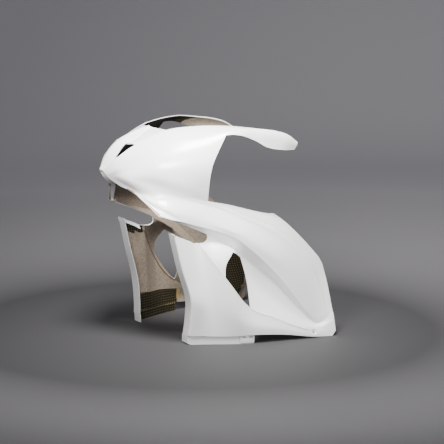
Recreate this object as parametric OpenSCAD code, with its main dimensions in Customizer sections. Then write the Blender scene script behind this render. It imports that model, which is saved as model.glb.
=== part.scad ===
// One-piece moulded race fairing for a motorcycle: nose, side panels and joggled feet in one shell.
// Origin: centre of the footprint, on the floor. Nose toward -X, left side toward -Y, +Z up.

/* [Overall size] */
// Length from the nose tip to the rear edge of the side panels
length = 718; // [600:2:860]
// Width over the splayed lower rear corners
width = 632; // [520:2:760]
// Height from the floor to the windscreen rim
height = 710; // [600:2:860]

/* [Laminate] */
// Thickness of the moulded shell
wall = 2.6; // [2:0.2:4]
// Thickness of a bonded reinforcement cloth
cloth_t = 0.8; // [0.6:0.1:1.2]
// Bond gap between the shell and a cloth
bond_gap = 0.05; // [0.02:0.01:0.1]

/* [Edges and flanges] */
// Inward width of the flange on the lower panel's front edge
front_flange_w = 46; // [20:1:60]
// Inward width of the return along the chin edge
chin_flange_w = 20; // [8:1:26]
// Inward width of the lip on the upper edge of the side slot
slot_lip_w = 14; // [8:1:24]
// Drop of that lip at the rear end of the slot
slot_lip_drop = 22; // [8:1:26]
// Inward width of the rolled lip on the lower edge of the side slot
fin_lip_w = 14; // [8:1:20]
// Drop of that lip from its rolled edge
fin_lip_drop = 9; // [6:1:14]
// Depth of the blank lamp recess in the nose
lamp_recess = 6; // [2:0.5:9]
// Height of the ledge between the lamp recess and the intake opening
ledge_h = 11; // [6:0.5:14]
// Inward step of the feet, which a belly pan would overlap
joggle_depth = 3.2; // [1.5:0.1:5]
// Height of that step
joggle_h = 3; // [2:0.5:5]

/* [Mounting points] */
// Bore for the quarter-turn fastener at each lower rear corner
hole_d = 6.4; // [5:0.1:8]
// Flat round seat moulded round that bore
seat_d = 19; // [14:1:22]
// How far the seat is sunk below the panel
seat_depth = 2; // [1:0.5:3]

/* [Hidden] */

// Reference size of the feature lines below, in their own millimetres
nose_start = 3;
ref_length = 718;
ref_half_width = 316;
ref_height = 710;

// Feature lines of the right half as [distance behind the nose, half width, height].
// All of them have a point on the same eleven stations, from the front edge to the rear edge.
centre_line = [
  [3, 0, 567], [33, 0, 625], [86, 0, 670], [184, 0, 704], [260, 0, 712], [340, 0, 716],
  [400, 0, 714], [450, 0, 708], [500, 0, 700], [550, 0, 690], [600, 0, 675]];
strip_edge = [
  [6, 6, 565], [43, 36, 610], [81, 34, 652], [182, 8, 702], [240, 40, 708], [320, 80, 712],
  [380, 100, 704], [430, 110, 697], [490, 120, 690], [550, 130, 675], [600, 140, 650]];
top_edge = [
  [7, 11, 564], [46, 45, 610], [104, 62, 650], [202, 90, 695], [292, 134, 708], [375, 178, 709],
  [428, 201, 704], [470, 211, 698], [536, 213, 688], [588, 212, 669], [624, 208, 631]];
arm_low = [
  [12, 14, 556], [44, 54, 592], [100, 92, 628], [175, 136, 656], [262, 186, 668], [349, 225, 685],
  [399, 236, 682], [453, 232, 662], [503, 230, 636], [559, 226, 624], [611, 216, 620]];
side_mid = [
  [17, 17, 549], [40, 56, 570], [84, 104, 580], [140, 158, 594], [217, 204, 593], [293, 236, 585],
  [370, 240, 576], [420, 240, 550], [420, 235, 480], [400, 238, 430], [380, 240, 404]];
waist = [
  [24, 21, 540], [38, 44, 545], [67, 96, 541], [131, 148, 525], [208, 188, 498], [293, 206, 471],
  [360, 220, 455], [416, 233, 440], [468, 241, 426], [500, 244, 419], [520, 246, 415]];
shoulder_crease = [
  [54, 46, 516], [77, 78, 511], [106, 125, 497], [157, 168, 486], [225, 197, 474], [294, 211, 456],
  [370, 228, 424], [436, 244, 390], [522, 260, 341], [600, 258, 293], [685, 252, 265]];
bulge = [
  [82, 92, 499], [100, 124, 482], [124, 162, 465], [162, 194, 447], [220, 208, 430], [279, 220, 409],
  [362, 243, 373], [430, 256, 339], [528, 270, 262], [632, 272, 178], [711, 262, 196]];
fold = [
  [120, 190, 433], [138, 196, 427], [165, 201, 419], [202, 206, 409], [239, 211, 398], [279, 220, 387],
  [353, 238, 362], [399, 250, 334], [519, 266, 226], [643, 284, 99], [717, 276, 120]];
slot_end = [
  [293, 200, 360], [293, 198, 344], [281, 199, 335]];
crease_rear = [
  [373, 222, 315], [397, 228, 298], [521, 250, 193], [651, 286, 46], [720, 290, 74]];
vent_top_rear = [
  [363, 248, 304], [402, 228, 280], [522, 251, 161], [650, 287, 43], [720.5, 292, 68]];
vent_mid_rear = [
  [333, 258, 266], [421, 238, 200], [524, 258, 118], [648, 291, 39], [720.5, 295, 58]];
low_top = [
  [167, 212, 370], [185, 211, 362], [204, 209, 354], [227, 206, 344], [243, 203, 336], [262, 203, 333],
  [329, 260, 224], [415, 271, 116], [524, 284, 75], [645, 302, 33], [720, 298, 48]];
low_edge = [
  [221, 206, 31], [233, 211, 30], [247, 216, 29], [265, 223, 29], [282, 232, 28], [306, 243, 27],
  [362, 270, 27], [422, 290, 29], [529, 303, 21], [630, 313, 5], [704, 316, 0]];

// How far the lower panel's front edge bows rearward at a third and two thirds of its height
front_bow = [8, 21];
// How far that edge stands out sideways at the same heights
front_out = [5, 10];
// How far the lower panel swells outward at the same heights
low_swell = [5, 7];
// Height of the feet's front lower corner above the floor
foot_front_rise = 4;
// Sag of the windscreen rim between the nose and the shoulder
rim_sag = 4;

// Samples inside each interval between two stations, and between two feature lines
station_steps = [
  [0, 0.34, 0.67], [0, 0.34, 0.67], [0, 0.1, 0.4, 0.7], [0, 0.33, 0.67], [0, 0.33, 0.67],
  [0, 0.25, 0.5, 0.75], [0, 0.33, 0.67], [0, 0.25, 0.5, 0.75], [0, 0.25, 0.5, 0.75], [0, 0.35, 0.62, 0.8]];
line_steps = [
  [0, 0.5], [0, 0.12, 0.56], [0, 0.5], [0, 0.5], [0, 0.5], [0, 0.5], [0, 0.5], [0, 0.5], [0, 0.6],
  [0], [0, 0.5], [0, 0.5], [0, 0.33, 0.67], [0, 0.33, 0.67], [0, 0.33, 0.67], [0], [0]];

function mix(a, b, t) = a * (1 - t) + b * t;
function unit(v) = norm(v) > 0 ? v / norm(v) : v;
function across(p) = [p[0], -p[1], p[2]];

// Lines made from the ones above
function upper_lip() = [for (i = [0:4]) fold[i] + [4, -slot_lip_w, -slot_lip_drop * pow(i / 5, 2)]];
function fin_lip() = [for (i = [0:4]) low_top[i] + [0, -fin_lip_w, -fin_lip_drop]];
function crease() = concat(upper_lip(), [slot_end[0]], crease_rear);
function vent_mid() = concat(fin_lip(), [slot_end[2]], vent_mid_rear);
function vent_top() = concat(
  [for (i = [0:4]) mix(upper_lip()[i], fin_lip()[i], 0.5)], [slot_end[1]], vent_top_rear);
function panel_line(k) = [for (i = [0:10])
  mix(low_top[i], low_edge[i], (k + 1) / 3)
    + max(0, 1 - i / 5) * [front_bow[k], front_out[k], 0] + [0, low_swell[k] * sin(18 * i), 0]];
function joggle() = [for (p = low_edge) [p[0], p[1] - joggle_depth, max(p[2] - joggle_h, 0)]];
function foot() = [for (i = [0:10])
  [low_edge[i][0], low_edge[i][1] - joggle_depth - 1.5, i == 0 ? foot_front_rise : 0]];
function feature_lines() = [
  centre_line, strip_edge, top_edge, arm_low, side_mid, waist, shoulder_crease, bulge, fold,
  crease(), vent_top(), vent_mid(), low_top, panel_line(0), panel_line(1), low_edge, joggle(), foot()];

// Where the shell is moulded, by interval between feature lines and between stations
function is_moulded(line, station) =
  line == 0 ? station < 3 :
  line == 1 ? station < 3 && station != 1 :
  line < 3 ? station >= 0 :
  line < 5 ? station < 5 :
  line < 9 ? true :
  line == 9 ? station >= 5 :
  line == 10 ? station >= 5 && station != 6 :
  line == 11 ? station >= 0 && station != 4 && station != 6 :
  line < 15 ? true :
  station < 7;

// Smooth curve through a list of points, sampled at the given steps inside each interval.
// A point's tangent is no longer than 1.2 times the shorter of its two chords, against overshoot.
function tangent(a, b, c) =
  let (m = (c - a) / 2, most = 1.2 * min(norm(b - a), norm(c - b)))
    norm(m) > most ? m * most / norm(m) : m;
function curve_at(a, b, c, d, t) =
  let (m = tangent(a, b, c), n = tangent(b, c, d))
    b + t * m + t * t * (3 * (c - b) - 2 * m - n) + t * t * t * (2 * (b - c) + m + n);
function ahead(p) = 2 * p[0] - p[1];
function behind(p) = 2 * p[len(p) - 1] - p[len(p) - 2];
function curve(p, steps, first) = [
  for (i = [0:len(p) - 2])
    let (a = i == 0 ? first : p[i - 1], d = i == len(p) - 2 ? behind(p) : p[i + 2])
      for (t = steps[i]) curve_at(a, p[i], p[i + 1], d, t),
  p[len(p) - 1]];
function transposed(g) = [for (c = [0:len(g[0]) - 1]) [for (r = g) r[c]]];

// Position of each row and column, counted in feature lines and in stations
function places(steps) = concat([for (i = [0:len(steps) - 1]) for (t = steps[i]) i + t], [len(steps)]);
row_place = places(line_steps);
col_place = concat([-1], places(station_steps));

// Right half of the outer face as a grid of points, one row for each sampled line
function sampled_lines() = [for (line = feature_lines()) curve(line, station_steps, ahead(line))];
function half_face() = transposed(
  [for (station = transposed(sampled_lines())) curve(station, line_steps, across(station[1]))]);

// The return flange adds one column in front of the front edge
function chin_return(p) = [chin_flange_w * 0.8, -min(chin_flange_w * 0.6, p[1] * 0.5), 2];
function flange_point(p, place) = p + (place <= 9 ? chin_return(p) : [2, -front_flange_w, 0]);
function with_flange(g) = [for (r = [0:len(g) - 1]) concat([flange_point(g[r][0], row_place[r])], g[r])];

// The lamp recess and its ledge, between the nose strip and the shoulder
function lamp_share(r) = row_place[r] > 1 && row_place[r] < 2 ? 2 - row_place[r] : 0;
function lamp_point(g, r, c) =
  lamp_share(r) == 0 || col_place[c] <= 2 || col_place[c] > 3 ? g[r][c] :
  col_place[c] < 2.2 ? g[r][c - 1] + [-2, 0, ledge_h * lamp_share(r)] :
  col_place[c] < 3 ? g[r][c] + lamp_recess * lamp_share(r) * [0.45, 0, -0.9] :
  g[r][c] - [0, 0, rim_sag * 4 * lamp_share(r) * (1 - lamp_share(r))];
function with_lamps(g) = [for (r = [0:len(g) - 1]) [for (c = [0:len(g[0]) - 1]) lamp_point(g, r, c)]];

function to_size(p) = [
  (p[0] - nose_start) * length / ref_length - length / 2,
  p[1] * width / 2 / ref_half_width,
  p[2] * height / ref_height];
right_face = [for (row = with_lamps(with_flange(half_face()))) [for (p = row) to_size(p)]];
half_rows = len(right_face);

// The whole outer face, from the right foot over the nose to the left foot
face = [
  for (r = [half_rows - 1:-1:1]) right_face[r],
  for (r = [0:half_rows - 1]) [for (p = right_face[r]) across(p)]];
rows = len(face);
cols = len(face[0]);
function is_left(r) = r >= half_rows - 1;
function cell_place(r) = is_left(r) ? row_place[r - half_rows + 1] : row_place[half_rows - 2 - r];
function cell_map(rule) = [for (r = [0:rows - 2]) [for (c = [0:cols - 2]) rule(r, c)]];
moulded = cell_map(function (r, c) is_moulded(floor(cell_place(r)), floor(col_place[c])));

// Outward normals of the face's points, from the moulded cells round each
function cell_normal(r, c) =
  r < 0 || c < 0 || r > rows - 2 || c > cols - 2 ? [0, 0, 0] :
  moulded[r][c] ? unit(cross(face[r + 1][c + 1] - face[r][c], face[r][c + 1] - face[r + 1][c])) :
  [0, 0, 0];
cell_normals = [for (r = [-1:rows - 1]) [for (c = [-1:cols - 1]) cell_normal(r, c)]];
normals = [for (r = [0:rows - 1]) [for (c = [0:cols - 1])
  unit(cell_normals[r][c] + cell_normals[r + 1][c] + cell_normals[r][c + 1] + cell_normals[r + 1][c + 1])]];
function above_floor(p) = [p[0], p[1], max(p[2], 0)];
function sunk(depth) = [
  for (r = [0:rows - 1]) [for (c = [0:cols - 1]) above_floor(face[r][c] - depth * normals[r][c])]];

// A closed sheet between two depths below the face, over the cells that are on
module sheet(depth_a, depth_b, on) {
  a = sunk(depth_a);
  b = sunk(depth_b);
  n = rows * cols;
  points = concat([for (r = a) for (p = r) p], [for (r = b) for (p = r) p]);
  function lit(r, c) = r >= 0 && c >= 0 && r < rows - 1 && c < cols - 1 && on[r][c];
  function id(r, c) = r * cols + c;
  function turned(r, c) = norm(face[r][c] - face[r + 1][c + 1]) > norm(face[r][c + 1] - face[r + 1][c]);
  faces = [
    for (r = [0:rows - 2]) for (c = [0:cols - 2]) if (on[r][c])
      let (p = id(r, c), q = id(r, c + 1), s = id(r + 1, c + 1), t = id(r + 1, c))
        each concat(
          turned(r, c) ? [[p, q, t], [q, s, t], [n + p, n + t, n + q], [n + q, n + t, n + s]] :
          [[p, q, s], [p, s, t], [n + p, n + s, n + q], [n + p, n + t, n + s]],
          lit(r - 1, c) ? [] : [[p, n + q, q], [p, n + p, n + q]],
          lit(r + 1, c) ? [] : [[s, n + t, t], [s, n + s, n + t]],
          lit(r, c - 1) ? [] : [[t, n + p, p], [t, n + t, n + p]],
          lit(r, c + 1) ? [] : [[q, n + s, s], [q, n + q, n + s]])];
  polyhedron(points = points, faces = faces, convexity = 10);
}

// Rear mounting seats: the middle of the lower panel's strip at the last station but one
function row_at(place) = [
  for (r = [half_rows - 1:rows - 1]) if (row_place[r - half_rows + 1] == place) r][0];
function col_at(place) = [for (c = [0:cols - 1]) if (col_place[c] == place) c][0];
seat_at = (face[row_at(13)][col_at(9)] + face[row_at(14)][col_at(9)]) / 2;
seat_out = unit(normals[row_at(13)][col_at(9)] + normals[row_at(14)][col_at(9)]);
pocket_above = 8;
pad_d = seat_d + 2 * wall;
pad_clearance = 0.6;

// Puts its children on a seat's surface with +Z pointing out of the panel
module on_seat(side) {
  at = side < 0 ? seat_at : across(seat_at);
  out = side < 0 ? seat_out : across(seat_out);
  translate(at)
    rotate([0, acos(out[2]), atan2(out[1], out[0])])
      children();
}

module fairing_shell() {
  color("whitesmoke")
    difference() {
      union() {
        sheet(0, wall, moulded);
        for (side = [-1, 1])
          on_seat(side)
            translate([0, 0, -seat_depth - wall])
              cylinder(d = pad_d, h = seat_depth + wall / 2, $fn = 48);
      }
      for (side = [-1, 1])
        on_seat(side) {
          translate([0, 0, -seat_depth])
            cylinder(d = seat_d, h = pocket_above, $fn = 48);
          translate([0, 0, -pocket_above])
            cylinder(d = hole_d, h = 2 * pocket_above, $fn = 32);
        }
    }
}

// A reinforcement cloth on the inside, over the moulded cells of one side that its rule picks
module cloth(left, rule) {
  covered = cell_map(function (r, c)
    is_left(r) == left && moulded[r][c] && rule(cell_place(r), col_place[c]));
  color("dimgray")
    sheet(wall + bond_gap, wall + bond_gap + cloth_t, covered);
}

// Where the cloths lie: round the nose and under the screen rim, in the feet, and behind the vents
on_nose = function (line, station)
  station >= 0 && (line < 3 ? line >= 2 && station < 6 : line < 4 ? station < 5 : line < 6 && station < 4);
on_foot = function (line, station) line >= 14 && line < 17 && station >= 0 && station < 7;
on_rear = function (line, station)
  line >= 6.5 && line < 14 && station >= 8.5 && station < (line < 8.6 ? 9.8 : 9.62);

module nose_cloth_left() {
  cloth(true, on_nose);
}

module nose_cloth_right() {
  cloth(false, on_nose);
}

module foot_cloth_left() {
  cloth(true, on_foot);
}

module foot_cloth_right() {
  cloth(false, on_foot);
}

// The rear cloths leave the seat's pad free
module rear_cloth(side) {
  color("dimgray")
    difference() {
      cloth(side < 0, on_rear);
      on_seat(side)
        translate([0, 0, -3 * pocket_above])
          cylinder(d = pad_d + 2 * pad_clearance, h = 4 * pocket_above, $fn = 48);
    }
}

module rear_cloth_left() {
  rear_cloth(-1);
}

module rear_cloth_right() {
  rear_cloth(1);
}

fairing_shell();
nose_cloth_left();
nose_cloth_right();
foot_cloth_left();
foot_cloth_right();
rear_cloth_left();
rear_cloth_right();
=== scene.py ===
"""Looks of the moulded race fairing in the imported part's frame: metres, nose -X, left -Y, up +Z."""

import math

import bmesh
import bpy
import numpy as np
from mathutils import Matrix, Vector


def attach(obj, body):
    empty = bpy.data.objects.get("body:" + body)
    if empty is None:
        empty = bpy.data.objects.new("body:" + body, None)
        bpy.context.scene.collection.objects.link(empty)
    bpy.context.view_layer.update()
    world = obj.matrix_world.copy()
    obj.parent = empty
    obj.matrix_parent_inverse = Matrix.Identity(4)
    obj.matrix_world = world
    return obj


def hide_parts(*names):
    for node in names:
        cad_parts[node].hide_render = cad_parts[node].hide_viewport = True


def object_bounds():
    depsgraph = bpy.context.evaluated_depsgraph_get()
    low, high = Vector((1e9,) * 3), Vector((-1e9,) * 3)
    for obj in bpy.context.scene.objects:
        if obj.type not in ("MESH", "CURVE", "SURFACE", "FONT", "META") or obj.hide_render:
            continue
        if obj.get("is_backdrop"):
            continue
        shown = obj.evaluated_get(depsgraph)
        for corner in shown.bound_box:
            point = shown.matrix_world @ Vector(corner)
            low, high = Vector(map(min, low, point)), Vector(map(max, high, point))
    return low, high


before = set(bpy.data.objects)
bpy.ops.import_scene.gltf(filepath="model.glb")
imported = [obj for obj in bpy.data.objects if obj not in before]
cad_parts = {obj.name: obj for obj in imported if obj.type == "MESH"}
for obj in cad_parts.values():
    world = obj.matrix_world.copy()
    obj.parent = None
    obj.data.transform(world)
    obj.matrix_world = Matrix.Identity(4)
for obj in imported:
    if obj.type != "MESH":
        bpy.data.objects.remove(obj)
sizes = {"cad": [list(c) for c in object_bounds()]}

# The fairing's form, in millimetres
WALL = 2.6
CLOTH_T = 0.8
BOND_GAP = 0.05
FRONT_FLANGE_W = 46
CHIN_FLANGE_W = 20
SLOT_LIP_W = 14
SLOT_LIP_BACK = 4
SLOT_LIP_DROP = 22
FIN_LIP_W = 14
FIN_LIP_DROP = 9
LAMP_RECESS = 6
LAMP_SINK_WAY = np.array([0.45, 0, -0.9])
LEDGE_H = 11
LEDGE_LEAN = 2
RIM_SAG = 4
JOGGLE_DEPTH = 4.2
JOGGLE_H = 3
JOGGLE_SLOPE = 1.5
FOOT_FRONT_RISE = 4
FOLD_R = 12
NOSE_TO_MIDDLE = 362

# The fastener seat near the lower rear corner: its middle on the left panel, and the way out of it
SEAT_D = 19
SEAT_DEPTH = 2
SEAT_SINK = 0.6
SEAT_TAPER = 0.5
HOLE_D = 6.4
CUT_BELOW = 9
CUT_ABOVE = 8
SEAT_AT = Vector((0.2755, -0.309354, 0.019))
SEAT_OUT = Vector((-0.00157761, -0.929613, 0.368535))

# Relief along the face's normal, and the distance from the seat over which it comes in
EDGE_CREASE_DEPTH = 1.4
EDGE_CREASE_TILT = 0.06
ARM_CREASE_DEPTH = 1.6
ARM_CREASE_RIDGE = 1.5
SIDE_SWELL = 6
SHOULDER_HOLLOW = 5
FRONT_BELLY = 4.5
LIP_RIDGE = 2.5
LIP_GROOVE = 2.5
VENT_RIDGE = 2.5
VENT_RIDGE_MORE = 1.5
SIDE_TOP_RIDGE = 1.6
FOOT_PLATE = 1.3
RELIEF_FROM = 12
RELIEF_OVER = 22

# Feature lines of the right half: [distance behind the nose, half width, height] at eleven stations
CENTRE_LINE = [
    [3, 0, 567], [33, 0, 625], [86, 0, 670], [184, 0, 704], [260, 0, 712], [340, 0, 716],
    [400, 0, 714], [450, 0, 708], [500, 0, 700], [550, 0, 690], [600, 0, 675]]
STRIP_EDGE = [
    [6, 6, 565], [43, 36, 610], [81, 34, 652], [182, 8, 702], [240, 40, 708], [320, 80, 712],
    [380, 100, 704], [430, 110, 697], [490, 120, 690], [550, 130, 675], [600, 140, 650]]
TOP_EDGE = [
    [7, 11, 564], [46, 45, 610], [104, 62, 650], [202, 90, 695], [292, 134, 708], [375, 178, 709],
    [428, 201, 704], [470, 211, 698], [536, 213, 688], [588, 212, 672], [626, 208, 647]]
ARM_LOW = [
    [12, 14, 556], [44, 54, 592], [100, 92, 628], [175, 136, 656], [262, 186, 668], [349, 225, 685],
    [399, 236, 682], [453, 232, 662], [503, 230, 636], [559, 226, 624], [611, 216, 620]]
SIDE_MID = [
    [17, 17, 549], [40, 56, 570], [84, 104, 580], [140, 158, 594], [217, 204, 593], [293, 236, 585],
    [370, 240, 576], [420, 240, 550], [420, 235, 480], [400, 238, 430], [380, 240, 404]]
WAIST = [
    [24, 21, 540], [38, 44, 545], [67, 96, 541], [131, 148, 525], [208, 188, 498], [293, 206, 471],
    [360, 220, 455], [416, 233, 440], [468, 241, 426], [500, 244, 419], [520, 246, 415]]
SHOULDER_CREASE = [
    [54, 46, 516], [77, 78, 511], [106, 125, 497], [157, 168, 486],
    [225, 197, 474], [294, 211, 456], [370, 228, 424], [436, 244, 390],
    [522, 260, 341], [600, 258, 293], [685, 252, 265]]
BULGE = [
    [82, 92, 499], [100, 124, 482], [124, 162, 465], [162, 194, 447],
    [220, 208, 430], [279, 220, 409], [362, 243, 373], [430, 256, 339],
    [528, 270, 262], [632, 272, 178], [711, 262, 196]]
FOLD = [
    [120, 190, 433], [138, 196, 427], [165, 201, 419], [202, 206, 409],
    [239, 211, 398], [279, 220, 387], [353, 238, 362], [399, 250, 334],
    [519, 266, 222], [648, 287, 62], [719, 290, 92]]
SLOT_END = [[293, 200, 360], [293, 198, 344], [281, 199, 335]]
CREASE_REAR = [[373, 222, 315], [397, 228, 298], [521, 250, 193], [651, 286, 46], [720.3, 295, 74]]
VENT_TOP_REAR = [
    [363, 248, 304], [402, 228, 280], [522, 251, 161], [650, 287, 43], [720.8, 297, 68]]
VENT_MID_REAR = [
    [333, 258, 266], [421, 238, 200], [524, 258, 118], [648, 291, 39], [720.9, 300, 58]]
LOW_TOP = [
    [167, 212, 370], [185, 211, 362], [204, 209, 354], [227, 206, 344],
    [243, 203, 336], [262, 203, 333], [329, 260, 224], [415, 271, 116],
    [524, 284, 75], [645, 302, 33], [720.9, 303, 48]]
LOW_EDGE = [
    [221, 206, 31], [233, 211, 30], [247, 216, 29], [265, 223, 29], [282, 232, 28], [306, 243, 27],
    [362, 270, 27], [422, 290, 29], [529, 303, 21], [630, 313, 5], [704, 316, 0]]

# How far the two lines between LOW_TOP and LOW_EDGE lie off a flat panel: back and out at its front,
# out along its length, and back at its rear edge
FRONT_BOW = [8, 21]
FRONT_OUT = [5, 10]
LOW_SWELL = [5, 7]
CORNER_OUT = [5.5, 11]

# Paths on the face as (line, station) pairs, read off the photograph
EDGE_CREASE = [
    (5.4, 5.0), (5.46, 5.77), (5.6, 6.4), (5.64, 7.0), (5.63, 7.7), (5.68, 8.46), (5.83, 8.95),
    (6.05, 9.21), (6.35, 9.4), (6.75, 9.53), (7.25, 9.62), (7.95, 9.74), (9, 9.85)]
ARM_CREASE = [(2.45, 3.8), (2.5, 4.14), (2.56, 4.5), (2.62, 4.92), (2.6, 5.4), (2.55, 6.2)]
VENT_RIDGE_PATH = [(12.03, 6.9), (12.2, 7.65), (12.78, 8.23), (13.04, 8.83), (13.2, 9.3)]
# Path of a dark brown strip of painted shade on the inner face, along the step where the channel from
# the fin to the vent stands in
CREASE_SHADE_PATH = [
    (12.32, 4.4), (12.38, 5.0), (12.42, 5.7), (12.46, 6.1), (12.48, 6.32), (12.43, 6.55),
    (12.36, 6.75), (12.2, 7.0)]

# A point on the side of each crease where distances from it are positive, in the tables' frame
BEHIND_EDGE_CREASE = (660, 255, 330)
BEHIND_ARM_CREASE = (300, 215, 660)

# Lines that the surface crosses with a tighter curve, and the share of its tangent left there
TIGHT_LINES = {8: 0.3, 9: 0.3, 12: 0.3, 15: 0.15, 16: 0.1}


def feature_lines():
    """The eighteen lines of the right half, from the centre line down to the foot."""
    fold, low_top, low_edge = (np.array(table, float) for table in (FOLD, LOW_TOP, LOW_EDGE))
    i = np.arange(len(low_edge))
    duct = np.arange(5)
    drop = -SLOT_LIP_DROP * (duct / 5) ** 2
    upper_lip = fold[:5] + np.stack([duct * 0 + SLOT_LIP_BACK, duct * 0 - SLOT_LIP_W, drop], 1)
    fin_lip = low_top[:5] + [0, -FIN_LIP_W, -FIN_LIP_DROP]
    crease = np.concatenate([upper_lip, [SLOT_END[0]], CREASE_REAR])
    vent_top = np.concatenate([(upper_lip + fin_lip) / 2, [SLOT_END[1]], VENT_TOP_REAR])
    vent_mid = np.concatenate([fin_lip, [SLOT_END[2]], VENT_MID_REAR])
    panel = []
    for k in (0, 1):
        t = (k + 1) / 3
        near = np.maximum(0, 1 - i / 5)
        out = FRONT_OUT[k] * near + LOW_SWELL[k] * np.sin(np.radians(18 * i))
        extra = np.stack([FRONT_BOW[k] * near, out, i * 0], 1)
        extra[-1, 0] += CORNER_OUT[k]
        panel.append(low_top * (1 - t) + low_edge * t + extra)
    x, y, z = low_edge.T
    joggle = np.stack([x, y - JOGGLE_DEPTH, np.maximum(z - JOGGLE_H, 0)], 1)
    foot = np.stack([x, y - JOGGLE_DEPTH - JOGGLE_SLOPE, np.where(i == 0, FOOT_FRONT_RISE, 0)], 1)
    return np.array([
        CENTRE_LINE, STRIP_EDGE, TOP_EDGE, ARM_LOW, SIDE_MID, WAIST, SHOULDER_CREASE, BULGE, fold,
        crease, vent_top, vent_mid, low_top, panel[0], panel[1], low_edge, joggle, foot], float)


def tangent(a, b, c):
    """The tangent at b, kept short where a neighbour is near."""
    m = (c - a) / 2
    size = np.linalg.norm(m, axis=-1, keepdims=True)
    before = np.linalg.norm(b - a, axis=-1, keepdims=True)
    after = np.linalg.norm(c - b, axis=-1, keepdims=True)
    most = 1.2 * np.minimum(before, after)
    return np.where(size > most, m * most / (size + 1e-12), m)


def along(points, at, first=None, tight=None):
    """Smooth curve through points (first axis), at the positions in at."""
    n = len(points)
    first = 2 * points[0] - points[1] if first is None else first
    p = np.concatenate([[first], points, [2 * points[-1] - points[-2]]])
    i = np.clip(np.floor(at).astype(int), 0, n - 2)
    t = (at - i).reshape((-1,) + (1,) * (points.ndim - 1))
    a, b, c, d = p[i], p[i + 1], p[i + 2], p[i + 3]
    m, k = tangent(a, b, c), tangent(b, c, d)
    if tight is not None:
        m, k = m * tight[i].reshape(t.shape), k * tight[i + 1].reshape(t.shape)
    return b + t * m + t ** 2 * (3 * (c - b) - 2 * m - k) + t ** 3 * (2 * (b - c) + m + k)


def places(counts, extra=()):
    """Numbers along an axis of the face: each interval in its count of steps, plus some extra."""
    out = [i + k / n for i, n in enumerate(counts) for k in range(n)] + [len(counts)]
    return np.array(sorted(set(round(v, 5) for v in out + list(extra))))


# ROWS run across the feature lines, COLS along them, and ARC round the fold of a front edge
ROWS = places([8, 8, 10, 9, 8, 12, 12, 10, 8, 7, 7, 8, 10, 12, 9, 4, 8], [1.03, 1.06, 1.09, 2.05])
COLS = places([9, 9, 14, 9, 9, 12, 9, 16, 18, 24], [2.02, 2.04, 6.26, 6.3, 6.5, 9.62, 9.8])
ARC = np.arange(1, 8) / 8


def is_moulded(line, station):
    """Whether there is wall between this line and station and the next of each."""
    if line == 0:
        return station < 3
    if line == 1:
        return station < 3 and station != 1
    if line < 3:
        return station >= 0
    if line < 5:
        return station < 5
    if line < 9:
        return True
    if line == 9:
        return station >= 5
    if line == 10:
        return station >= 5 and station != 6
    if line == 11:
        return station >= 0 and station not in (4, 6)
    if line < 15:
        return True
    return station < 7


def smooth(t):
    """A soft step from 0 to 1."""
    t = np.clip(t, 0, 1)
    return t * t * (3 - 2 * t)


def rise(x, start, over):
    """A soft step that begins at start and is complete once over is passed."""
    return smooth((x - start) / over)


def fall(x, start, over):
    return 1 - rise(x, start, over)


def bell(x, middle, width):
    return np.exp(-((x - middle) / width) ** 2)


def crest(x, middle, width):
    """Like a bell, with a sharp top."""
    return np.exp(-np.abs(x - middle) / width)


def half_face():
    """The right half's smooth face, with the lamp recess and the ledge below it."""
    stations = np.moveaxis(along(np.moveaxis(feature_lines(), 1, 0), COLS), 0, 1)
    tight = np.ones(len(stations))
    for line_at, left in TIGHT_LINES.items():
        tight[line_at] = left
    g = along(stations, ROWS, stations[1] * [1, -1, 1], tight)
    rows, cols = ROWS[:, None], COLS[None, :]
    share = np.where((rows > 1) & (rows < 2), 2 - rows, 0)
    low = share * rise(rows, 1, 0.4)
    # The ledge stands between stations 2 and 2.1
    bottom = g[:, np.searchsorted(COLS, 2.0)][:, None]
    up = np.clip((cols - 2) / 0.1, 0, 1) * np.ones_like(share)
    ledge = bottom + np.stack([-LEDGE_LEAN * up * (share > 0), 0 * up, up * LEDGE_H * low], -1)
    on_ledge = ((cols > 2) & (cols <= 2.1) & (share > 0))[..., None]
    # The lamp recess starts at the ledge's top and sinks below the face
    top = bottom + np.stack([0 * share - LEDGE_LEAN, 0 * share, LEDGE_H * low], -1)
    start = top + (g - g[:, np.searchsorted(COLS, 2.1)][:, None])
    depth = LAMP_RECESS * share * rise(rows, 1, 0.09) * (rows < 2) * (cols < 3)
    sunk = g + (depth * smooth((3 - cols) / 0.25))[..., None] * LAMP_SINK_WAY
    in_lamp = ((cols > 2.1) & (cols < 3) & (share > 0))[..., None]
    blend = rise(cols, 2.1, 0.18)[..., None]
    shaped = np.where(in_lamp, start * (1 - blend) + sunk * blend, np.where(on_ledge, ledge, g))
    shaped[..., 2] -= RIM_SAG * 4 * share * (1 - share) * rise(cols, 2.7, 0.3) * (cols <= 3)
    return shaped


def with_flange(g):
    """The return flange in front of the front edge, and the rounded fold between the two."""
    chin = ROWS <= 9
    across = np.where(chin, -np.minimum(CHIN_FLANGE_W * 0.6, g[:, 0, 1] * 0.5), -FRONT_FLANGE_W)
    off = np.stack([np.where(chin, CHIN_FLANGE_W * 0.8, 2), across, np.where(chin, 2, 0)], 1)
    reach = np.linalg.norm(off, axis=1)
    last = np.searchsorted(COLS, 1.0)
    out = []
    for row, o, far, is_chin in zip(g, off, reach, chin):
        run = np.concatenate([[0], np.cumsum(np.linalg.norm(np.diff(row, axis=0), axis=1))])
        radius = min(FOLD_R * (0.5 if is_chin else 1), 0.45 * far, 0.45 * run[last])
        a = row[0] + o / far * radius
        b = np.array([np.interp(radius, run, row[:, k]) for k in range(3)])
        flange = [row[0] + o * f for f in np.linspace(1, radius / far, 5)]
        arc = [a * (1 - t) ** 2 + row[0] * 2 * t * (1 - t) + b * t ** 2 for t in ARC]
        at = radius + run[:last] * (run[last] - radius) / run[last]
        near = np.stack([np.interp(at, run, row[:, k]) for k in range(3)], 1)
        out.append(np.concatenate([flange, arc, near, row[last:]]))
    return np.array(out)


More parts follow.
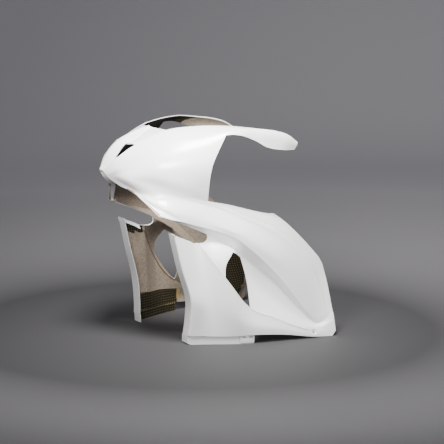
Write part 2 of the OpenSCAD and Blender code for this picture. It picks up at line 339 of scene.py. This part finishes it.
def bilinear(grid, r, c):
    """The value of a grid between its points."""
    i, j = int(min(r, grid.shape[0] - 2)), int(min(c, grid.shape[1] - 2))
    u, v = r - i, c - j
    before = (1 - v) * grid[i, j] + v * grid[i, j + 1]
    after = (1 - v) * grid[i + 1, j] + v * grid[i + 1, j + 1]
    return (1 - u) * before + u * after


def spread(path, steps):
    """Places along a path, in equal steps on each of its legs and without its end."""
    shares = np.linspace(0, 1, steps, endpoint=False)
    return [
        (r0 + (r1 - r0) * t, c0 + (c1 - c0) * t)
        for (r0, c0), (r1, c1) in zip(path, path[1:]) for t in shares]


def path_points(path, g):
    """Points of the face along a path given as (line, station) pairs."""
    rows, cols = np.arange(len(ROWS)), np.arange(len(COLS))
    return np.array([
        bilinear(g, np.interp(r, ROWS, rows), np.interp(c, COLS, cols))
        for r, c in spread(path, 12)])


def grid_normals(g):
    n = np.cross(np.gradient(g, axis=1), np.gradient(g, axis=0))
    return n / (np.linalg.norm(n, axis=2, keepdims=True) + 1e-12)


def offset_from(path, g, toward):
    """Signed distance of every grid point from a path, positive on the side of the point toward."""
    points = path_points(path, g)
    flat = g.reshape(-1, 3)
    gap = np.linalg.norm(flat[:, None] - points[None], axis=2)
    k = gap.argmin(1)
    step = np.gradient(points, axis=0)[k]
    side = np.cross(step, grid_normals(g).reshape(-1, 3))
    sign = np.sign((side * (flat - points[k])).sum(1))
    i = int(np.linalg.norm(flat - np.array(toward), axis=1).argmin())
    return (gap.min(1) * sign * (sign[i] or 1)).reshape(g.shape[:2])


def creases(g, lines, stations):
    """Depth of the thin crease along the band's top and rear edge, and of the arm's."""
    on = rise(stations, 5.3, 0.7) * rise(lines, 4.9, 0.15) * (lines < 9)
    off = offset_from(EDGE_CREASE, g, BEHIND_EDGE_CREASE)
    edge = on * (EDGE_CREASE_DEPTH * rise(off, -1.5, 3.2) + EDGE_CREASE_TILT * np.clip(off, 0, 45))
    on = rise(stations, 3.8, 0.5) * fall(stations, 5.3, 0.8) * (lines > 2) * (lines < 3.6)
    off = offset_from(ARM_CREASE, g, BEHIND_ARM_CREASE)
    return edge + on * (ARM_CREASE_DEPTH * bell(off, 0, 3.5) - ARM_CREASE_RIDGE * bell(off, 9, 5))


def soft_relief(lines, stations):
    """Height of the side's swell and the front panel's belly, less the shoulder's hollow."""
    swell = SIDE_SWELL * np.exp(-np.abs((lines - 4.6) / np.where(lines > 4.6, 0.3, 0.5)) ** 1.5)
    swell = swell * rise(stations, 1.8, 1.6) * (1 - 0.8 * rise(stations, 3.6, 1.4))
    swell = swell * (stations < 5.01)
    hollow = SHOULDER_HOLLOW * bell(lines, 6, 0.5) * rise(stations, 2.5, 2) * fall(stations, 8, 1.2)
    belly = FRONT_BELLY * bell(lines, 13.95, 0.42) * fall(stations, 2.2, 3.2)
    return swell - hollow + belly


def ridges(lines, stations):
    """Height of the crisp edges: the lip over its groove, the vent's ridge and the side's top."""
    lip = LIP_RIDGE * crest(lines, 8.1, 0.2) * rise(stations, 3, 2) * fall(stations, 8, 0.9)
    groove = LIP_GROOVE * crest(lines, 9.35, 0.3)
    groove = groove * rise(stations, 6, 0.8) * fall(stations, 8.6, 0.6)
    ridge_line, ridge_station = zip(*VENT_RIDGE_PATH)
    ridge = VENT_RIDGE * rise(stations, 4.9, 0.5) + VENT_RIDGE_MORE * rise(stations, 6.5, 0.8)
    ridge = ridge * crest(lines, np.interp(stations, ridge_station, ridge_line), 0.35)
    ridge = ridge * fall(stations, 8.9, 0.6)
    top = SIDE_TOP_RIDGE * crest(lines, 2.05, 0.18)
    top = top * rise(stations, 0.3, 0.8) * fall(stations, 2.6, 1)
    return lip - groove + ridge + top


def foot_plate(lines, stations):
    """Height of the raised field on the foot, with its two slots left low."""
    field = (lines > 16) & (lines < 16.9) & (stations < 7.01)
    plate = FOOT_PLATE * rise(stations, 6.26, 0.04) * field
    in_slot = (np.abs(stations - 6.48) < 0.13) | (np.abs(stations - 6.83) < 0.1)
    return plate - FOOT_PLATE * ((np.abs(lines - 16.25) < 0.02) & in_slot & (plate > 0))


def with_relief(g):
    """The face with its creases and relief, which fade out round the fastener seat."""
    lines, stations = ROWS[:, None], COLS[None, :]
    raised = soft_relief(lines, stations) + ridges(lines, stations) + foot_plate(lines, stations)
    drop = creases(g, lines, stations) - raised
    seat = np.array([1000 * SEAT_AT[0] + NOSE_TO_MIDDLE, -1000 * SEAT_AT[1], 1000 * SEAT_AT[2]])
    drop = drop * rise(np.linalg.norm(g - seat, axis=2), RELIEF_FROM, RELIEF_OVER)
    return g - drop[..., None] * grid_normals(g)


# The whole face in metres, right half first, kept inside the solids' box. The flange in front of
# the front edge lies at stations below 0
half = with_flange(with_relief(half_face()))
half[..., 0] -= NOSE_TO_MIDDLE
half /= 1000
face = np.clip(np.concatenate([half[:0:-1], half * [1, -1, 1]]), *sizes["cad"])

# Its rows and columns of points, the rows of one half, and the line and station of every cell
R, C = face.shape[:2]
H = len(half)
col_place = np.concatenate([
    [-1, -0.85, -0.7, -0.55, -0.4], [-0.3, -0.2, -0.1, 0, 0.01, 0.02, 0.03], [0.04], COLS[1:]])
cell_place = np.concatenate([ROWS[:-1][::-1], ROWS[:-1]])
cell_left = np.arange(R - 1) >= H - 1
line, station = cell_place[:, None], col_place[None, :-1]
moulded = np.array([
    [is_moulded(math.floor(a), math.floor(b)) for b in col_place[:-1]] for a in cell_place])
moulded |= (np.floor(line) == 2) & (station > -0.45) & (station < 0)

# Normals of the points, from the moulded cells round each
cells = np.cross(face[1:, 1:] - face[:-1, :-1], face[:-1, 1:] - face[1:, :-1])
cells *= moulded[..., None] / (np.linalg.norm(cells, axis=2, keepdims=True) + 1e-15)
ring = np.zeros((R + 1, C + 1, 3))
ring[1:-1, 1:-1] = cells
normals = ring[1:, 1:] + ring[:-1, 1:] + ring[1:, :-1] + ring[:-1, :-1]
normals /= np.linalg.norm(normals, axis=2, keepdims=True) + 1e-15

# Lengths along the face, for the weave of the cloths
step_r = np.linalg.norm(np.diff(face, axis=0), axis=2)
step_c = np.linalg.norm(np.diff(face, axis=1), axis=2)
arc_r = np.concatenate([np.zeros((1, C)), np.cumsum(step_r, 0)])
arc_c = np.concatenate([np.zeros((R, 1)), np.cumsum(step_c, 1)], 1)

# Gelcoat also wraps round the windscreen rim, on a narrow band of the inner face
wrapped = (line >= 2) & (line < 2.1) & (station >= 2.5)

# Folds sharper than this aren't smoothed over
SHARP = math.radians(38)


def mesh_object(name, points, faces, materials):
    """A new object of the scene, with its materials in their slots."""
    mesh = bpy.data.meshes.new(name)
    mesh.from_pydata(points, [], faces)
    for m in materials:
        mesh.materials.append(m)
    obj = bpy.data.objects.new(name, mesh)
    bpy.context.scene.collection.objects.link(obj)
    return obj


def sunk_face(depth):
    """The face moved inward by a depth in millimetres."""
    return np.clip(face - depth / 1000 * normals, *sizes["cad"])


def sheet(name, depth_a, depth_b, on, materials):
    """A closed sheet between two depths below the face, over the cells that are on."""
    n = R * C
    ids = np.arange(n).reshape(R, C)
    faces, kinds = [], []
    lit = np.zeros((R + 1, C + 1), bool)
    lit[1:-1, 1:-1] = on
    for r, c in zip(*np.nonzero(on)):
        p, q, s, t = ids[r, c], ids[r, c + 1], ids[r + 1, c + 1], ids[r + 1, c]
        faces += [(p, t, s, q), (n + p, n + q, n + s, n + t)]
        kinds += [0, 0 if wrapped[r, c] else 1]
        edges = ((r, c + 1, p, q), (r + 2, c + 1, s, t), (r + 1, c, t, p), (r + 1, c + 2, q, s))
        for i, j, start, end in edges:
            if not lit[i, j]:
                faces.append((start, end, n + end, n + start))
                kinds.append(0)
    used, inverse = np.unique(np.array(faces), return_inverse=True)
    points = np.concatenate([sunk_face(d).reshape(-1, 3) for d in (depth_a, depth_b)])[used]
    obj = mesh_object(name, points.tolist(), inverse.reshape(-1, 4).tolist(), materials)
    mesh = obj.data
    slots = np.array(kinds, np.int32) if len(materials) > 1 else np.zeros(len(kinds), np.int32)
    mesh.polygons.foreach_set("material_index", slots)
    mesh.polygons.foreach_set("use_smooth", np.ones(len(kinds), bool))
    arc = np.stack([np.tile(arc_r.ravel(), 2), np.tile(arc_c.ravel(), 2)], 1)[used]
    uv = mesh.uv_layers.new(name="weave")
    loops = np.zeros(len(mesh.loops), np.int32)
    mesh.loops.foreach_get("vertex_index", loops)
    uv.data.foreach_set("uv", arc[loops].astype(np.float32).ravel())
    mesh.update()
    mesh.set_sharp_from_angle(angle=SHARP)
    return obj


# Materials
def material(name, color, roughness, coat=0.0):
    m = bpy.data.materials.new(name)
    m.use_nodes = True
    shader = m.node_tree.nodes["Principled BSDF"]
    shader.inputs["Base Color"].default_value = (*color, 1)
    shader.inputs["Roughness"].default_value = roughness
    shader.inputs["Coat Weight"].default_value = coat
    shader.inputs["Coat Roughness"].default_value = 0.15
    return m, m.node_tree.nodes, m.node_tree.links, shader


def noise(nodes, links, scale, detail=3.0, source="Object"):
    co = nodes.new("ShaderNodeTexCoord")
    n = nodes.new("ShaderNodeTexNoise")
    n.inputs["Scale"].default_value = scale
    n.inputs["Detail"].default_value = detail
    links.new(co.outputs[source], n.inputs["Vector"])
    return n


def ramp(nodes, links, source, stops):
    r = nodes.new("ShaderNodeValToRGB")
    while len(r.color_ramp.elements) < len(stops):
        r.color_ramp.elements.new(0.5)
    for e, (at, color) in zip(r.color_ramp.elements, stops):
        e.position = at
        e.color = (*color, 1)
    links.new(source, r.inputs["Fac"])
    return r


def bump(nodes, links, shader, source, strength, distance):
    b = nodes.new("ShaderNodeBump")
    b.inputs["Strength"].default_value = strength
    b.inputs["Distance"].default_value = distance
    links.new(source, b.inputs["Height"])
    links.new(b.outputs["Normal"], shader.inputs["Normal"])


def gelcoat():
    m, nodes, links, shader = material("gelcoat", (0.88, 0.875, 0.86), 0.3, 0.6)
    tint = noise(nodes, links, 6.0)
    stops = [(0.3, (0.86, 0.85, 0.83)), (0.7, (0.9, 0.9, 0.885))]
    r = ramp(nodes, links, tint.outputs["Fac"], stops)
    links.new(r.outputs["Color"], shader.inputs["Base Color"])
    wave = noise(nodes, links, 14.0, 1.0)
    bump(nodes, links, shader, wave.outputs["Fac"], 0.12, 0.004)
    return m


def laminate():
    m, nodes, links, shader = material("laminate", (0.4, 0.33, 0.25), 0.5)
    n = noise(nodes, links, 160.0, 4.0)
    stops = [(0.3, (0.2, 0.155, 0.115)), (0.7, (0.33, 0.27, 0.21))]
    r = ramp(nodes, links, n.outputs["Fac"], stops)
    links.new(r.outputs["Color"], shader.inputs["Base Color"])
    bump(nodes, links, shader, n.outputs["Fac"], 0.5, 0.0012)
    return m


def weave():
    m, nodes, links, shader = material("weave", (0.01, 0.01, 0.008), 0.5)
    shader.inputs["Specular IOR Level"].default_value = 0.25
    co = nodes.new("ShaderNodeTexCoord")
    scale = nodes.new("ShaderNodeVectorMath")
    scale.operation = "SCALE"
    scale.inputs["Scale"].default_value = 1 / 0.0045
    links.new(co.outputs["UV"], scale.inputs[0])
    checker = nodes.new("ShaderNodeTexChecker")
    checker.inputs["Scale"].default_value = 1.0
    checker.inputs["Color1"].default_value = (0.004, 0.004, 0.003, 1)
    checker.inputs["Color2"].default_value = (0.014, 0.013, 0.009, 1)
    links.new(scale.outputs[0], checker.inputs["Vector"])
    dots = nodes.new("ShaderNodeTexVoronoi")
    dots.inputs["Scale"].default_value = 0.5
    dots.inputs["Randomness"].default_value = 0.0
    links.new(scale.outputs[0], dots.inputs["Vector"])
    spot = ramp(nodes, links, dots.outputs["Distance"], [(0.16, (1, 1, 1)), (0.24, (0, 0, 0))])
    mix = nodes.new("ShaderNodeMix")
    mix.data_type = "RGBA"
    mix.inputs["B"].default_value = (0.16, 0.125, 0.05, 1)
    links.new(spot.outputs["Color"], mix.inputs["Factor"])
    links.new(checker.outputs["Color"], mix.inputs["A"])
    links.new(mix.outputs["Result"], shader.inputs["Base Color"])
    bump(nodes, links, shader, checker.outputs["Fac"], 0.4, 0.0006)
    return m


white, inside, cloth_look = gelcoat(), laminate(), weave()
# Dark brown colour for the painted shade along the channel's step on the inner face
crease_shade_look = material("painted_crease_shade", (0.1, 0.055, 0.03), 0.4)[0]
thread = material("tracer_thread", (0.42, 0.31, 0.1), 0.6)[0]
# Near-black colour for the painted shade in the foot plate's slots and along its front step
dark = material("slot_shade", (0.06, 0.057, 0.055), 0.7)[0]

# The shell: its seats are cut in small patches, which are then joined to it
SEAT_PATCH_R = 0.02
SEAT_CLEAR_R = 0.0132
to_seat = np.linalg.norm(face * [1, 0, 1] - np.abs(face) * [0, 1, 0] - np.array(SEAT_AT), axis=2)


def cells_within(reach):
    """The cells with a corner nearer to a seat than reach."""
    near = to_seat < reach
    return near[:-1, :-1] | near[1:, :-1] | near[:-1, 1:] | near[1:, 1:]


def turned(name, profile, side, steps=64):
    """A solid turned round a seat's axis, which points out, from (radius, height) pairs in mm."""
    axis = Vector((SEAT_OUT.x, SEAT_OUT.y * -side, SEAT_OUT.z)).normalized()
    at = Vector((SEAT_AT.x, SEAT_AT.y * -side, SEAT_AT.z))
    place = Matrix.Translation(at) @ axis.to_track_quat("Z", "Y").to_matrix().to_4x4()
    n = len(profile)
    points = [
        place @ Vector((r * math.cos(a) / 1000, r * math.sin(a) / 1000, h / 1000))
        for a in (2 * math.pi * k / steps for k in range(steps)) for r, h in profile]
    faces = [
        (k * n + i, (k + 1) % steps * n + i, (k + 1) % steps * n + i + 1, k * n + i + 1)
        for k in range(steps) for i in range(n - 1)]
    faces += [[k * n for k in range(steps)][::-1], [k * n + n - 1 for k in range(steps)]]
    return mesh_object(name, points, faces, [white, inside])


def combine(target, tool, operation):
    """Applies a boolean with a tool and removes the tool."""
    mod = target.modifiers.new("bool", "BOOLEAN")
    mod.operation = operation
    mod.solver = "EXACT"
    mod.object = tool
    depsgraph = bpy.context.evaluated_depsgraph_get()
    mesh = bpy.data.meshes.new_from_object(target.evaluated_get(depsgraph))
    target.modifiers.clear()
    target.data = mesh
    bpy.data.objects.remove(tool)


seat_floor = -SEAT_DEPTH - SEAT_SINK
PAD = [(SEAT_D / 2 + WALL, -SEAT_DEPTH - WALL), (SEAT_D / 2 + WALL, -WALL / 2)]
CUT = [
    (HOLE_D / 2, -CUT_BELOW), (HOLE_D / 2, seat_floor), (SEAT_D / 2 - SEAT_TAPER, seat_floor),
    (SEAT_D / 2, 0), (SEAT_D / 2, CUT_ABOVE)]
round_seat = cells_within(SEAT_PATCH_R)
shell = sheet("fairing_shell_fine", 0, WALL, moulded & ~round_seat, [white, inside])
whole = bmesh.new()
whole.from_mesh(shell.data)
for is_left, side in ((True, -1), (False, 1)):
    on = moulded & round_seat & (cell_left == is_left)[:, None]
    patch = sheet("seat_patch", 0, WALL, on, [white, inside])
    pad = turned("pad", PAD, side)
    pad.data.polygons.foreach_set("material_index", [1] * len(pad.data.polygons))
    combine(patch, pad, "UNION")
    combine(patch, turned("cut", CUT, side), "DIFFERENCE")
    whole.from_mesh(patch.data)
    bpy.data.objects.remove(patch)
whole.to_mesh(shell.data)
whole.free()
shell.data.set_sharp_from_angle(angle=SHARP)
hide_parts("fairing_shell")
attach(shell, "root")

# Where the cloths lie: round the nose and along the arm, in the feet, behind the vents, on the fins
ON_NOSE = (station >= 0) & (
    (line >= 2.1) & (line < 3) & (station < 6.9 - 0.6 * (line - 2))
    | (line >= 3) & (line < 4) & (station < 5) | (line >= 4) & (line < 6) & (station < 4))
ON_FOOT = (line >= 12.9) & (line < 17) & (station >= 0) & (station < 7.12)
ON_REAR = (line >= 6.5) & (line < 14) & (station >= 8.5) & ~cells_within(SEAT_CLEAR_R)
ON_REAR &= station < np.where(line < 8.6, 9.8, 9.62)
ON_FIN = (line >= 12.03) & (line < 12.45 - 0.06 * (station - 2)) & (station >= 0.9)
ON_FIN &= station < 4.45

# The foot cloths end at a plane that falls a little toward the rear
FOOT_TRIM_AT = (-0.1, 0, 0.0915)
FOOT_TRIM_OUT = (0.07, 0, 1)


def trim(obj, at, out):
    """Cuts off what lies beyond a plane and closes the cut."""
    bm = bmesh.new()
    bm.from_mesh(obj.data)
    geom = bm.verts[:] + bm.edges[:] + bm.faces[:]
    done = bmesh.ops.bisect_plane(bm, geom=geom, plane_co=at, plane_no=out, clear_outer=True)
    edges = [e for e in done["geom_cut"] if isinstance(e, bmesh.types.BMEdge)]
    bmesh.ops.holes_fill(bm, edges=edges, sides=0)
    bm.to_mesh(obj.data)
    bm.free()


def cloth(name, left, rule, replaced=True):
    """A cloth bonded inside the shell, on one side, over the cells of its rule."""
    on = (cell_left == left)[:, None] & rule & moulded
    piece = sheet(name + "_fine", WALL + BOND_GAP, WALL + BOND_GAP + CLOTH_T, on, [cloth_look])
    if rule is ON_FOOT:
        trim(piece, FOOT_TRIM_AT, FOOT_TRIM_OUT)
    if replaced:
        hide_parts(name)
    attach(piece, "root")


def spot(line_at, station_at, side):
    """A point of the outer face and its normal, on one side."""
    r = H - 1 + np.interp(line_at, ROWS, np.arange(H))
    c = np.interp(station_at, col_place, np.arange(C))
    return [bilinear(grid, r, c) * [1, -side, 1] for grid in (face, normals)]


def ribbon(name, path, half_width, depth_a, depth_b, mat, side):
    """A thin strip along a path, between two depths below the face in millimetres."""
    spots = [spot(r, c, side) for r, c in spread(path, 6) + [path[-1]]]
    steps = np.gradient(np.array([q for q, n in spots]), axis=0)
    points = []
    for (q, n), step in zip(spots, steps):
        across = np.cross(step, n)
        across *= half_width / 1000 / (np.linalg.norm(across) + 1e-12)
        for depth, sign in ((depth_a, -1), (depth_a, 1), (depth_b, 1), (depth_b, -1)):
            points.append(tuple(q - n * depth / 1000 + across * sign))
    k = len(spots)
    faces = [
        (4 * i + a, 4 * i + (a + 1) % 4, 4 * i + 4 + (a + 1) % 4, 4 * i + 4 + a)
        for i in range(k - 1) for a in range(4)]
    faces += [(3, 2, 1, 0), (4 * k - 4, 4 * k - 3, 4 * k - 2, 4 * k - 1)]
    obj = mesh_object(name, points, faces, [mat])
    bm = bmesh.new()
    bm.from_mesh(obj.data)
    bmesh.ops.recalc_face_normals(bm, faces=bm.faces[:])
    bm.to_mesh(obj.data)
    bm.free()
    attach(obj, "root")


# The foot plate's two slots and its front step as (line, station) places, drawn as dark strips of
# painted shade, and the loose threads at the foot cloth's rear edge
FOOT_SLOTS = [(6.38, 6.6), (6.74, 6.94)]
FOOT_SLOT_LINE = 16.3
FOOT_LINE = [(16.05, 6.25), (16.85, 6.25)]
THREAD_LINES = np.linspace(13.15, 14.3, 9)
THREAD_ENDS = (7.1, 7.25)

for left, side in ((True, "left"), (False, "right")):
    cloth("nose_cloth_" + side, left, ON_NOSE)
    cloth("foot_cloth_" + side, left, ON_FOOT)
    cloth("rear_cloth_" + side, left, ON_REAR)
    cloth("fin_patch_" + side, left, ON_FIN, replaced=False)
    sign = -1 if left else 1
    # Painted shade: a dark strip on the inner face along the channel's step
    ribbon("painted_crease_shade_" + side, CREASE_SHADE_PATH, 1.8, WALL, WALL + 0.5, crease_shade_look, sign)
    # Dark strips of painted shade in the foot plate's two slots and along its front step
    for k, ends in enumerate(FOOT_SLOTS):
        path = [(FOOT_SLOT_LINE, end) for end in ends]
        ribbon("foot_slot_%s_%d" % (side, k), path, 1.3, 0.5, -0.4, dark, sign)
    ribbon("foot_line_" + side, FOOT_LINE, 0.6, 0.5, -0.3, dark, sign)
    for k, row in enumerate(THREAD_LINES):
        path = [(row, end) for end in THREAD_ENDS]
        ribbon("thread_%s_%d" % (side, k), path, 0.9, WALL, WALL + 1, thread, sign)

# The camera that was fitted to the photograph
CAMERA_AT = (-2.7948, -5.28, 1.3869)
YAW, DOWN = math.radians(28.7), math.radians(9.7)
SENSOR_MM = 36
FOCAL_PX, PHOTO_PX = 1800, 444
camera = bpy.data.objects.new("camera", bpy.data.cameras.new("camera"))
camera.data.sensor_width = SENSOR_MM
camera.data.lens = SENSOR_MM * FOCAL_PX / PHOTO_PX
camera.data.clip_end = 60
look = Vector((math.sin(YAW) * math.cos(DOWN), math.cos(YAW) * math.cos(DOWN), -math.sin(DOWN)))
right = Vector((math.cos(YAW), -math.sin(YAW), 0))
turn = Matrix((right, right.cross(look), -look)).transposed().to_4x4()
camera.matrix_world = Matrix.Translation(CAMERA_AT) @ turn
bpy.context.scene.collection.objects.link(camera)
bpy.context.scene.camera = camera

# The floor runs up behind the fairing in one sheet: its ends, and the bend between them
FLOOR_FRONT, FLOOR_BACK = -9.0, 4.0
BEND_R = 1.5
WALL_TOP = 9.0
FLOOR_HALF_WIDTH = 14.0


def floor_look():
    """Painted shade: dark round the fairing, where the lamps light the floor most, and pale further
    out.
    """
    m, nodes, links, shader = material("floor_with_painted_shade", (0.2, 0.2, 0.2), 0.75)
    co = nodes.new("ShaderNodeTexCoord")
    reach = nodes.new("ShaderNodeVectorMath")
    reach.operation = "LENGTH"
    links.new(co.outputs["Object"], reach.inputs[0])
    span = nodes.new("ShaderNodeMapRange")
    span.inputs["From Min"].default_value = 0.8
    span.inputs["From Max"].default_value = 3.2
    links.new(reach.outputs["Value"], span.inputs["Value"])
    # Painted shade: near-black round the fairing, pale further out
    stops = [(0.0, (0.045, 0.043, 0.045)), (1.0, (0.85, 0.82, 0.85))]
    fade = ramp(nodes, links, span.outputs["Result"], stops)
    links.new(fade.outputs["Color"], shader.inputs["Base Color"])
    return m


bend = np.linspace(0, math.pi / 2, 13)
sweep = [(FLOOR_FRONT, 0.0)]
sweep += [(FLOOR_BACK + BEND_R * math.sin(a), BEND_R - BEND_R * math.cos(a)) for a in bend]
sweep += [(FLOOR_BACK + BEND_R, WALL_TOP)]
points = [(x, y, z) for y, z in sweep for x in (-FLOOR_HALF_WIDTH, FLOOR_HALF_WIDTH)]
faces = [(2 * i, 2 * i + 1, 2 * i + 3, 2 * i + 2) for i in range(len(sweep) - 1)]
backdrop = mesh_object("backdrop", points, faces, [floor_look()])
backdrop.data.polygons.foreach_set("use_smooth", [True] * len(faces))
backdrop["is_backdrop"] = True
backdrop.rotation_euler = (0, 0, -YAW)

# Light
world = bpy.data.worlds.new("studio")
world.use_nodes = True
world.node_tree.nodes["Background"].inputs["Color"].default_value = (0.95, 0.97, 1.0, 1)
world.node_tree.nodes["Background"].inputs["Strength"].default_value = 0.19
bpy.context.scene.world = world


def area(name, at, target, size, power, beam=180):
    """An area lamp of a size in metres, turned to a target, with a beam in degrees."""
    lamp = bpy.data.objects.new(name, bpy.data.lights.new(name, "AREA"))
    lamp.data.shape = "RECTANGLE"
    lamp.data.size, lamp.data.size_y = size
    lamp.data.energy = power
    lamp.data.spread = math.radians(beam)
    lamp.location = at
    lamp.rotation_euler = (Vector(target) - Vector(at)).to_track_quat("-Z", "Y").to_euler()
    bpy.context.scene.collection.objects.link(lamp)


area("key", (-0.95, -1.15, 1.1), (-0.03, -0.22, 0.66), (0.5, 0.5), 6, 55)
area("top", (-0.4, -0.75, 2.2), (-0.02, -0.2, 0.6), (0.6, 0.6), 30, 80)
area("side", (1.8, -3.2, 1.0), (0, 0, 0.3), (1.6, 1.4), 3)

sizes["visual"] = [list(c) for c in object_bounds()]
